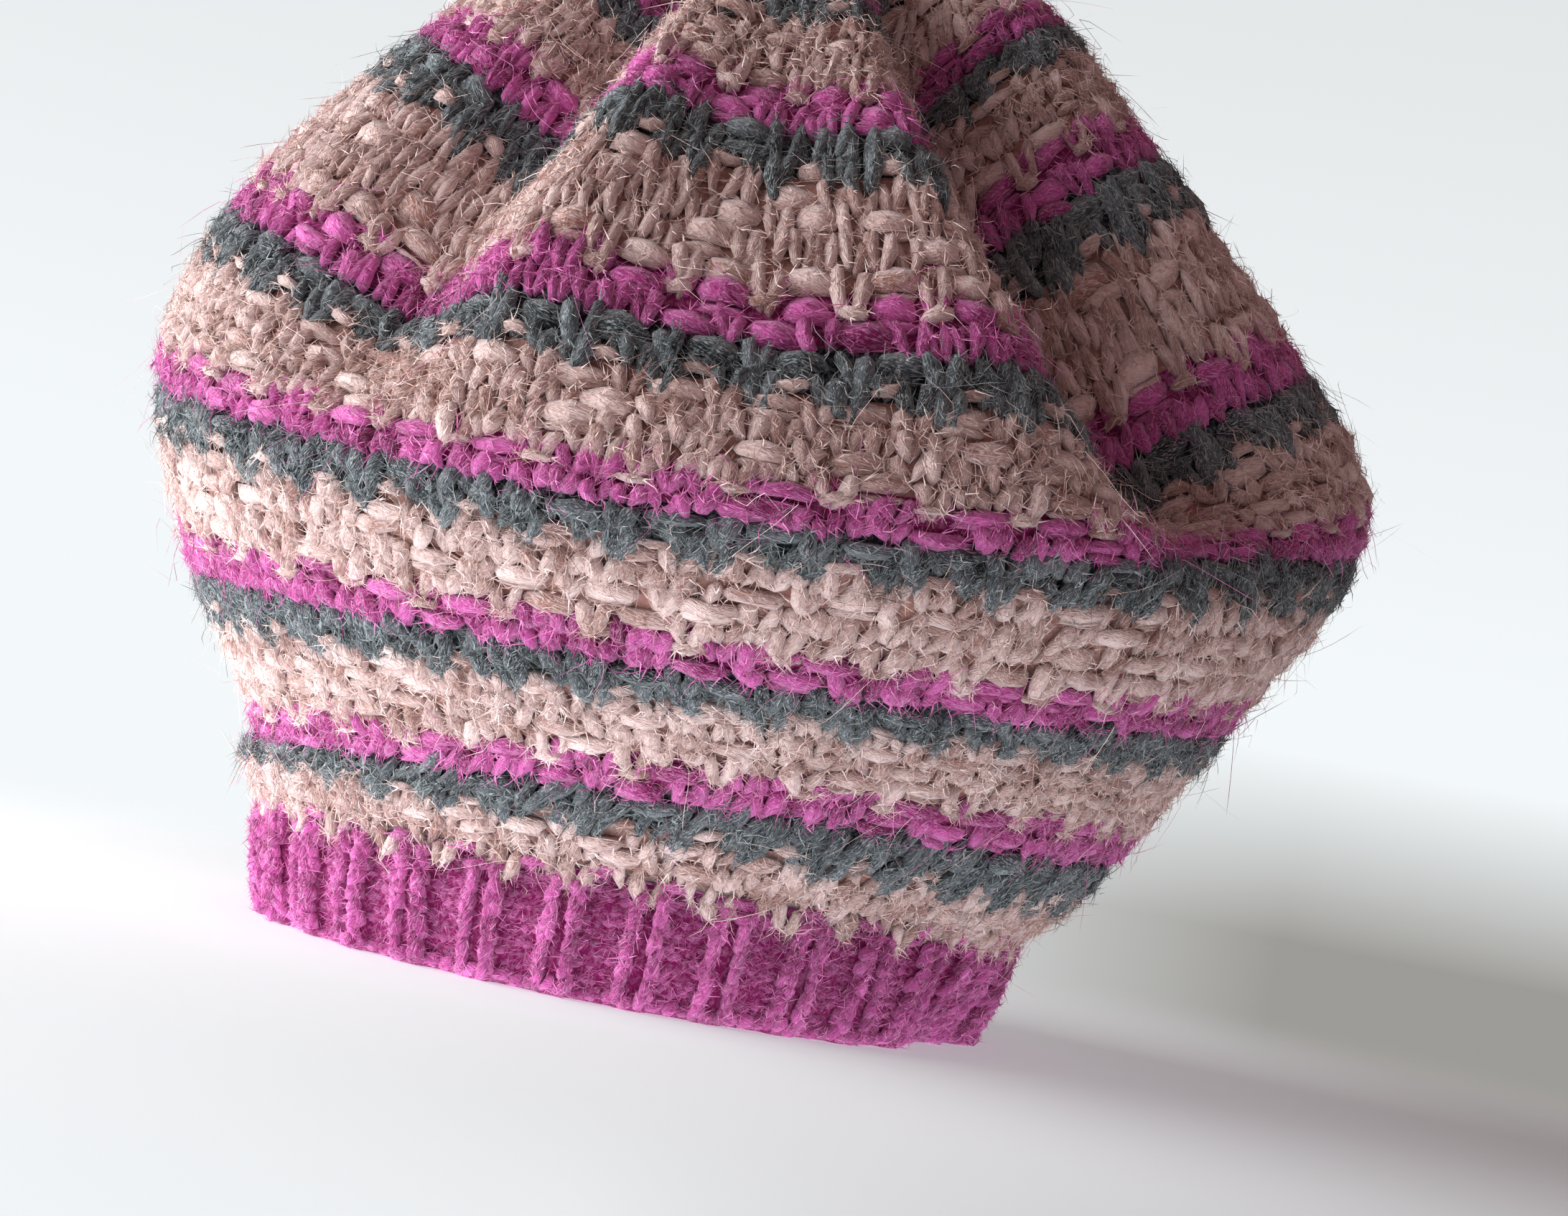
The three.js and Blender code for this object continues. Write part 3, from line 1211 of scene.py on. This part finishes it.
CROWN_NAP = Fuzz("crown_nap", 195000, 1.2 * MM, 3.4 * MM, 0.46, 0.35, 0.30 * MM, 1, 23)
CROWN_DOWN = Fuzz("crown_down", 56000, 1.6 * MM, 4.8 * MM, 0.48, 1.10, 0.16 * MM, 2, 27)
CROWN_HAIRS = Fuzz("crown_hairs", 6500, 3.5 * MM, 12.0 * MM, 0.34, 1.15, 0.10 * MM, 6, 29)
BAND_NAP = Fuzz("band_nap", 44000, 1.0 * MM, 3.2 * MM, 0.60, 0.45, 0.24 * MM, 1, 31)


@dataclass
class ShaderGraph:
    """A node tree with short ways to add and join its nodes."""

    tree: bpy.types.NodeTree

    def node(self, kind: str, **settings: object) -> bpy.types.Node:
        """Adds a node.

        Args:
            kind: Its type.
            settings: Its properties.

        Returns:
            The node.
        """
        made = self.tree.nodes.new(kind)
        for name, value in settings.items():
            setattr(made, name, value)
        return made

    def link(self, start: bpy.types.NodeSocket, end: bpy.types.NodeSocket) -> None:
        """Joins two sockets."""
        self.tree.links.new(start, end)

    def number(self, value: float) -> bpy.types.NodeSocket:
        """Adds a number.

        Args:
            value: The number.

        Returns:
            Its socket.
        """
        made = self.node("ShaderNodeValue").outputs["Value"]
        made.default_value = value
        return made

    def colour(self, value: Colour) -> bpy.types.NodeSocket:
        """Adds a colour.

        Args:
            value: The colour, linear.

        Returns:
            Its socket.
        """
        made = self.node("ShaderNodeRGB").outputs["Color"]
        made.default_value = (*value, 1)
        return made

    def noise(
        self, place: bpy.types.NodeSocket, scale: float, detail: float, roughness: float = 0.5
    ) -> bpy.types.NodeSocket:
        """Adds a noise.

        Args:
            place: Where it is read.
            scale: How fine it is.
            detail: How many finer layers it has.
            roughness: How strong they are.

        Returns:
            Its value.
        """
        made = self.node("ShaderNodeTexNoise")
        made.inputs["Scale"].default_value = scale
        made.inputs["Detail"].default_value = detail
        made.inputs["Roughness"].default_value = roughness
        self.link(place, made.inputs["Vector"])
        return made.outputs["Fac"]

    def scaled(
        self, place: bpy.types.NodeSocket, scale: tuple[float, float, float]
    ) -> bpy.types.NodeSocket:
        """Stretches a place.

        Args:
            place: The place.
            scale: The factor along each axis.

        Returns:
            The stretched place.
        """
        made = self.node("ShaderNodeMapping")
        made.inputs["Scale"].default_value = scale
        self.link(place, made.inputs["Vector"])
        return made.outputs["Vector"]

    def ramped(self, value: bpy.types.NodeSocket, low: float, high: float) -> bpy.types.NodeSocket:
        """Spreads a value between two limits from 0 to 1.

        Args:
            value: The value.
            low: Where it is 0.
            high: Where it is 1.

        Returns:
            The spread value.
        """
        made = self.node("ShaderNodeMapRange")
        made.inputs["From Min"].default_value = low
        made.inputs["From Max"].default_value = high
        self.link(value, made.inputs["Value"])
        return made.outputs["Result"]

    def added(
        self, first: bpy.types.NodeSocket, factor: float, second: bpy.types.NodeSocket
    ) -> bpy.types.NodeSocket:
        """Multiplies a value and adds another.

        Args:
            first: The value that is multiplied.
            factor: The factor.
            second: The value that is added.

        Returns:
            The sum.
        """
        made = self.node("ShaderNodeMath", operation="MULTIPLY_ADD")
        self.link(first, made.inputs[0])
        made.inputs[1].default_value = factor
        self.link(second, made.inputs[2])
        return made.outputs["Value"]

    def product(
        self, first: bpy.types.NodeSocket, second: bpy.types.NodeSocket
    ) -> bpy.types.NodeSocket:
        """Multiplies two values.

        Args:
            first: One value.
            second: The other.

        Returns:
            Their product.
        """
        made = self.node("ShaderNodeMath", operation="MULTIPLY")
        self.link(first, made.inputs[0])
        self.link(second, made.inputs[1])
        return made.outputs["Value"]

    def mixed(
        self, factor: bpy.types.NodeSocket, low: bpy.types.NodeSocket, high: bpy.types.NodeSocket
    ) -> bpy.types.NodeSocket:
        """Mixes two colours.

        Args:
            factor: The share of the second.
            low: The first colour.
            high: The second colour.

        Returns:
            The mixed colour.
        """
        made = self.node("ShaderNodeMix", data_type="RGBA")
        self.link(factor, made.inputs["Factor"])
        self.link(low, made.inputs["A"])
        self.link(high, made.inputs["B"])
        return made.outputs["Result"]


@dataclass(frozen=True)
class FibrePattern:
    """How fibres show on a yarn: their grains, and the limits that turn those into tones."""

    streak_grain: tuple[float, float, float] = (9.0, 2.4, 9.0)
    hair_grain: tuple[float, float, float] = (21.0, 4.0, 21.0)
    fuzz_grain: float = 1100.0
    patch_grain: float = 140.0
    crispness: float = 0.6
    shade_share: float = 0.45
    streak_share: float = 0.9
    tone_limits: tuple[float, float] = (0.88, 1.42)
    fuzz_share: float = 0.35
    hair_limits: tuple[float, float] = (0.66, 0.88)
    fuzz_height: float = 0.6
    hair_height: float = 0.7

    def group(self) -> bpy.types.NodeTree:
        """Builds the shader group that draws the fibres.

        Returns:
            The group, with a colour and a height that change over the yarn.
        """
        group = bpy.data.node_groups.new("yarn_fibres", "ShaderNodeTree")
        for label, kind in (
            ("Base", "NodeSocketColor"), ("Deep", "NodeSocketColor"),
            ("Fibre", "NodeSocketColor"), ("Fibre Amount", "NodeSocketFloat"),
        ):
            group.interface.new_socket(label, in_out="INPUT", socket_type=kind)
        group.interface.new_socket("Color", in_out="OUTPUT", socket_type="NodeSocketColor")
        group.interface.new_socket("Height", in_out="OUTPUT", socket_type="NodeSocketFloat")
        graph = ShaderGraph(group)
        given = graph.node("NodeGroupInput").outputs
        result = graph.node("NodeGroupOutput").inputs
        here = graph.node("ShaderNodeTexCoord").outputs["Object"]
        fibre = graph.node("ShaderNodeAttribute", attribute_name="fibre").outputs["Vector"]
        # A ground's shade of -1 ramps to the deep colour, as painted shade; the stitches' shades are
        # random tones
        shade = graph.node("ShaderNodeAttribute", attribute_name="shade").outputs["Fac"]
        streak = graph.noise(graph.scaled(fibre, self.streak_grain), 1.0, 2.0, self.crispness)
        hair = graph.noise(graph.scaled(fibre, self.hair_grain), 1.0, 1.0)
        fuzz = graph.noise(here, self.fuzz_grain, 2.0, self.crispness)
        patch = graph.noise(here, self.patch_grain, 2.0)
        streaked = graph.added(streak, self.streak_share, patch)
        tone = graph.ramped(
            graph.added(shade, self.shade_share, streaked), *self.tone_limits)
        body = graph.mixed(tone, given["Deep"], given["Base"])
        pick = graph.ramped(graph.added(fuzz, self.fuzz_share, hair), *self.hair_limits)
        picked = graph.product(pick, given["Fibre Amount"])
        graph.link(graph.mixed(picked, body, given["Fibre"]), result["Color"])
        raised = graph.added(hair, self.hair_height, streak)
        graph.link(graph.added(fuzz, self.fuzz_height, raised), result["Height"])
        return group


@dataclass(frozen=True)
class WoolFinish:
    """The look of one yarn, its colours linear."""

    name: str
    base: Colour
    # The deep colour is the wool in shade: the stitches' random tones run towards it, and a ground
    # takes it whole as painted shade
    deep: Colour
    fibre: Colour
    fibre_amount: float
    bump: float = 0.9
    bump_height: float = 0.5 * MM
    sheen: float = 0.7
    sheen_roughness: float = 0.4
    roughness: float = 0.95
    shine: float = 0.1

    def material(self, group: bpy.types.NodeTree) -> bpy.types.Material:
        """Builds the yarn's material.

        Args:
            group: The group that draws the fibres.

        Returns:
            The material.
        """
        made = bpy.data.materials.new(self.name)
        made.use_nodes = True
        made.node_tree.nodes.clear()
        graph = ShaderGraph(made.node_tree)
        fibres = graph.node("ShaderNodeGroup", node_tree=group)
        fibres.inputs["Base"].default_value = (*self.base, 1)
        fibres.inputs["Deep"].default_value = (*self.deep, 1)
        fibres.inputs["Fibre"].default_value = (*self.fibre, 1)
        fibres.inputs["Fibre Amount"].default_value = self.fibre_amount
        shader = graph.node("ShaderNodeBsdfPrincipled")
        shader.inputs["Roughness"].default_value = self.roughness
        shader.inputs["Specular IOR Level"].default_value = self.shine
        shader.inputs["Sheen Weight"].default_value = self.sheen
        shader.inputs["Sheen Roughness"].default_value = self.sheen_roughness
        shader.inputs["Sheen Tint"].default_value = (*self.fibre, 1)
        bump = graph.node("ShaderNodeBump")
        bump.inputs["Strength"].default_value = self.bump
        bump.inputs["Distance"].default_value = self.bump_height
        output = graph.node("ShaderNodeOutputMaterial")
        graph.link(fibres.outputs["Color"], shader.inputs["Base Color"])
        graph.link(fibres.outputs["Height"], bump.inputs["Height"])
        graph.link(bump.outputs["Normal"], shader.inputs["Normal"])
        graph.link(shader.outputs["BSDF"], output.inputs["Surface"])
        return made


# Each yarn's deep colour is the wool's colour in shade. The stitches' random tones run between it and
# the base, and the ground between the stitches takes it whole, as painted shade
YARNS = (
    WoolFinish("beige_wool", (0.86, 0.66, 0.63), (0.36, 0.18, 0.15), (0.97, 0.89, 0.88), 0.50),
    WoolFinish("magenta_wool", (0.70, 0.13, 0.46), (0.22, 0.012, 0.10), (0.95, 0.52, 0.80), 0.55),
    WoolFinish("charcoal_wool", (0.12, 0.14, 0.155), (0.010, 0.015, 0.018), (0.55, 0.60, 0.62), 0.70),
)
HALOES = (
    WoolFinish("beige_halo", (0.94, 0.79, 0.76), (0.55, 0.34, 0.29), (0.97, 0.90, 0.88), 0.2),
    WoolFinish("magenta_halo", (0.86, 0.32, 0.64), (0.50, 0.06, 0.28), (0.92, 0.55, 0.80), 0.2),
    WoolFinish("charcoal_halo", (0.38, 0.43, 0.44), (0.03, 0.04, 0.045), (0.60, 0.66, 0.67), 0.2),
)


@dataclass(frozen=True)
class TableFinish:
    """A white table that glows as if lit from the left, and fades into the room all round."""

    colour: Colour = (0.62, 0.67, 0.68)
    glow: Colour = (0.93, 0.965, 1.0)
    roughness: float = 0.9
    shine: float = 0.1
    fades: tuple[float, float] = (0.11, 0.44)
    left_limits: tuple[float, float] = (0.20, -0.15)
    far_limits: tuple[float, float] = (0.10, 0.55)
    near_glow: float = 0.38
    far_glow: float = 0.06
    least_glow: float = 0.14
    thrown_glow: float = 0.35
    thrown_left: float = 1.7

    def strength(
        self, graph: ShaderGraph, left: bpy.types.NodeSocket, far: bpy.types.NodeSocket
    ) -> bpy.types.NodeSocket:
        """Sets how strongly the table glows, for the camera and for the light it throws.

        Args:
            graph: The material's nodes.
            left: How far left a place is.
            far: How far out it is.

        Returns:
            The strength.
        """
        near = graph.number(self.near_glow)
        lit = graph.product(left, graph.added(far, self.far_glow, near))
        shown_glow = graph.added(lit, 1.0, graph.number(self.least_glow))
        thrown = graph.added(left, self.thrown_left, graph.number(self.thrown_glow))
        glow = graph.node("ShaderNodeMix")
        seen = graph.node("ShaderNodeLightPath").outputs["Is Camera Ray"]
        graph.link(thrown, glow.inputs["A"])
        graph.link(seen, glow.inputs["Factor"])
        graph.link(shown_glow, glow.inputs["B"])
        return glow.outputs["Result"]

    def material(self) -> bpy.types.Material:
        """Builds the table's material.

        Returns:
            The material.
        """
        made = bpy.data.materials.new("white_table")
        made.use_nodes = True
        made.node_tree.nodes.clear()
        graph = ShaderGraph(made.node_tree)
        here = graph.node("ShaderNodeTexCoord").outputs["Object"]
        away = graph.node("ShaderNodeVectorMath", operation="LENGTH")
        graph.link(here, away.inputs[0])
        fade = graph.node("ShaderNodeMapRange", interpolation_type="SMOOTHERSTEP")
        fade.inputs["From Min"].default_value = self.fades[0]
        fade.inputs["From Max"].default_value = self.fades[1]
        graph.link(away.outputs["Value"], fade.inputs["Value"])
        shader = graph.node("ShaderNodeBsdfPrincipled")
        shader.inputs["Base Color"].default_value = (*self.colour, 1)
        shader.inputs["Roughness"].default_value = self.roughness
        shader.inputs["Specular IOR Level"].default_value = self.shine
        shader.inputs["Emission Color"].default_value = (*self.glow, 1)
        way = graph.node("ShaderNodeSeparateXYZ")
        graph.link(here, way.inputs["Vector"])
        left = graph.ramped(way.outputs["X"], *self.left_limits)
        far = graph.ramped(away.outputs["Value"], *self.far_limits)
        graph.link(self.strength(graph, left, far), shader.inputs["Emission Strength"])
        clear = graph.node("ShaderNodeBsdfTransparent")
        both = graph.node("ShaderNodeMixShader")
        output = graph.node("ShaderNodeOutputMaterial")
        graph.link(fade.outputs["Result"], both.inputs["Fac"])
        graph.link(shader.outputs["BSDF"], both.inputs[1])
        graph.link(clear.outputs["BSDF"], both.inputs[2])
        graph.link(both.outputs["Shader"], output.inputs["Surface"])
        return made


@dataclass(frozen=True)
class PaleRoom:
    """The room: a pale wall with a grey painted shadow low on the right, and the fill light it gives.
    """

    high: Colour = (0.77, 0.79, 0.80)
    low: Colour = (0.90, 0.94, 0.96)
    # The corner colour is a grey painted shadow of the hat, seen low on the right where the table
    # fades into the room
    corner: Colour = (0.34, 0.33, 0.31)
    fill: Colour = (1.0, 0.72, 0.71)
    fill_strength: float = 0.27
    wall_limits: tuple[float, float] = (0.34, 0.08)
    painted_shadow_right: tuple[float, float] = (0.0, 0.24)
    painted_shadow_below: tuple[float, float] = (0.05, -0.02)
    painted_shadow_ahead: tuple[float, float] = (0.6, 0.9)

    def world(self) -> bpy.types.World:
        """Builds the room as the camera sees it and as the hat is lit by it.

        Returns:
            The world.
        """
        made = bpy.data.worlds.new("pale_room")
        made.use_nodes = True
        made.node_tree.nodes.clear()
        graph = ShaderGraph(made.node_tree)
        seen = graph.node("ShaderNodeBackground")
        way = graph.node("ShaderNodeSeparateXYZ")
        graph.link(graph.node("ShaderNodeTexCoord").outputs["Generated"], way.inputs["Vector"])
        right = graph.ramped(way.outputs["X"], *self.painted_shadow_right)
        below = graph.ramped(way.outputs["Z"], *self.painted_shadow_below)
        ahead = graph.ramped(way.outputs["Y"], *self.painted_shadow_ahead)
        down = graph.ramped(way.outputs["Z"], *self.wall_limits)
        wall = graph.mixed(down, graph.colour(self.high), graph.colour(self.low))
        # The painted shadow lies low on the right and ahead
        in_painted_shadow = graph.product(graph.product(right, below), ahead)
        shaded = graph.mixed(in_painted_shadow, wall, graph.colour(self.corner))
        graph.link(shaded, seen.inputs["Color"])
        felt = graph.node("ShaderNodeBackground")
        felt.inputs["Color"].default_value = (*self.fill, 1)
        felt.inputs["Strength"].default_value = self.fill_strength
        ray = graph.node("ShaderNodeLightPath")
        both = graph.node("ShaderNodeMixShader")
        output = graph.node("ShaderNodeOutputWorld")
        graph.link(ray.outputs["Is Camera Ray"], both.inputs["Fac"])
        graph.link(felt.outputs["Background"], both.inputs[1])
        graph.link(seen.outputs["Background"], both.inputs[2])
        graph.link(both.outputs["Shader"], output.inputs["Surface"])
        return made


@dataclass(frozen=True)
class SoftLamp:
    """A soft light that faces the hat, its angles from the front towards the right and up."""

    name: str
    azimuth: float
    elevation: float
    away: float
    sides: tuple[float, float]
    power: float
    colour: Colour

    def hang(self, hat_centre: Vector) -> None:
        """Hangs the lamp.

        Args:
            hat_centre: What it faces.
        """
        data = bpy.data.lights.new(self.name, "AREA")
        data.shape = "RECTANGLE"
        data.size, data.size_y = self.sides
        data.energy = self.power
        data.color = self.colour
        hung = bpy.data.objects.new(self.name, data)
        turn = math.radians(self.azimuth)
        lift = math.radians(self.elevation)
        towards = Vector((
            math.sin(turn) * math.cos(lift), -math.cos(turn) * math.cos(lift), math.sin(lift)))
        hung.location = hat_centre + towards * self.away
        hung.rotation_mode = "QUATERNION"
        hung.rotation_quaternion = towards.to_track_quat("Z", "Y")
        bpy.context.scene.collection.objects.link(hung)


WINDOW = SoftLamp("window", -84, 8, 1.1, (1.3, 0.9), 28.0, (0.98, 1.0, 1.0))


@dataclass
class Studio:
    """The table, the window light in its pale room, and the camera, its angles in degrees."""

    hat_centre: Vector
    rim_centre: Vector
    camera_distance: float = 526 * MM
    camera_height: float = 42.5 * MM
    camera_lens: float = 60.0
    camera_sensor: float = 36.0
    camera_clip: tuple[float, float] = (0.01, 50.0)
    look_right: float = 2.01
    look_up: float = 3.90
    roll: float = 11.0
    table_radius: float = 1.5
    table_sides: int = 96

    def camera(self) -> None:
        """Sets the camera low in front of the hat, leaning to one side."""
        data = bpy.data.cameras.new("camera")
        data.lens = self.camera_lens
        data.sensor_width = self.camera_sensor
        data.clip_start, data.clip_end = self.camera_clip
        eye = bpy.data.objects.new("camera", data)
        bpy.context.scene.collection.objects.link(eye)
        yaw = math.radians(self.look_right)
        pitch = math.radians(self.look_up)
        forward = Vector((
            math.sin(yaw) * math.cos(pitch), math.cos(yaw) * math.cos(pitch), math.sin(pitch)))
        level = forward.cross(Vector((0, 0, 1))).normalized()
        above = level.cross(forward)
        roll = math.radians(self.roll)
        right = level * math.cos(roll) + above * math.sin(roll)
        up = above * math.cos(roll) - level * math.sin(roll)
        turned = Matrix((right, up, -forward)).transposed()
        place = self.rim_centre + Vector((0, -self.camera_distance, 0))
        place.z = self.camera_height
        eye.matrix_world = Matrix.Translation(place) @ turned.to_4x4()
        bpy.context.scene.camera = eye

    def floor(self) -> bpy.types.Object:
        """Makes the table.

        Returns:
            The table's top.
        """
        bm = bmesh.new()
        bmesh.ops.create_circle(
            bm, cap_ends=True, radius=self.table_radius, segments=self.table_sides)
        bmesh.ops.recalc_face_normals(bm, faces=bm.faces)
        return mesh_piece("floor", bm, [TableFinish().material()])

    def light(self) -> None:
        """Lights the hat from a low window on the left, in a pale room."""
        scene = bpy.context.scene
        scene.world = PaleRoom().world()
        WINDOW.hang(self.hat_centre)
        scene.view_settings.view_transform = "Standard"
        scene.view_settings.exposure = 0.0


def main() -> None:
    """Builds and dresses the hat."""
    logging.basicConfig(level=logging.INFO, format="%(name)s: %(message)s")
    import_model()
    band_low, band_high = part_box("ribbed_band")
    crown_low, crown_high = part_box("crown")
    rim_centre = (Vector(band_low) + Vector(band_high)) / 2
    hat_centre = (Vector(crown_low) + Vector(crown_high)) / 2
    studio = Studio(hat_centre, rim_centre)
    studio.camera()
    studio.light()
    studio.floor()

    group = FibrePattern().group()
    yarns = [finish.material(group) for finish in YARNS]
    haloes = [finish.material(group) for finish in HALOES]
    radius = (band_high[0] - band_low[0]) / 2
    band_shape = BandShape(rim_centre, radius, band_high[2] - band_low[2])
    band = band_cloth(band_shape)
    crown = crown_cloth(CrownShape(rim_centre, radius, crown_low[2]))

    knit = CrownKnit(crown, yarns)
    ribs = BandKnit(band, band_shape, yarns)
    crown_ground = knit.ground()
    band_ground = ribs.ground()
    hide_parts("crown")
    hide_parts("ribbed_band")
    striped = [crown_ground]
    lengths = []
    for first, last in CROWN_PIECES:
        rows, yarn = knit.knit(first, last)
        striped.append(rows)
        lengths.append(yarn)
    striped_yarn = Yarn.joined(lengths)
    for fuzz in (CROWN_NAP, CROWN_DOWN, CROWN_HAIRS):
        striped.append(fuzz.grow(striped_yarn, haloes))
    band_knit, band_yarn = ribs.knit()
    ribbed = [band_ground, band_knit, BAND_NAP.grow(band_yarn, haloes)]
    for slot, pieces in (("striped_wool", striped), ("magenta_wool", ribbed)):
        for piece in pieces:
            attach(piece, "root")
            LOG.info("%s has %d faces", piece.name, len(piece.data.polygons))


if __name__ == "__main__":
    main()
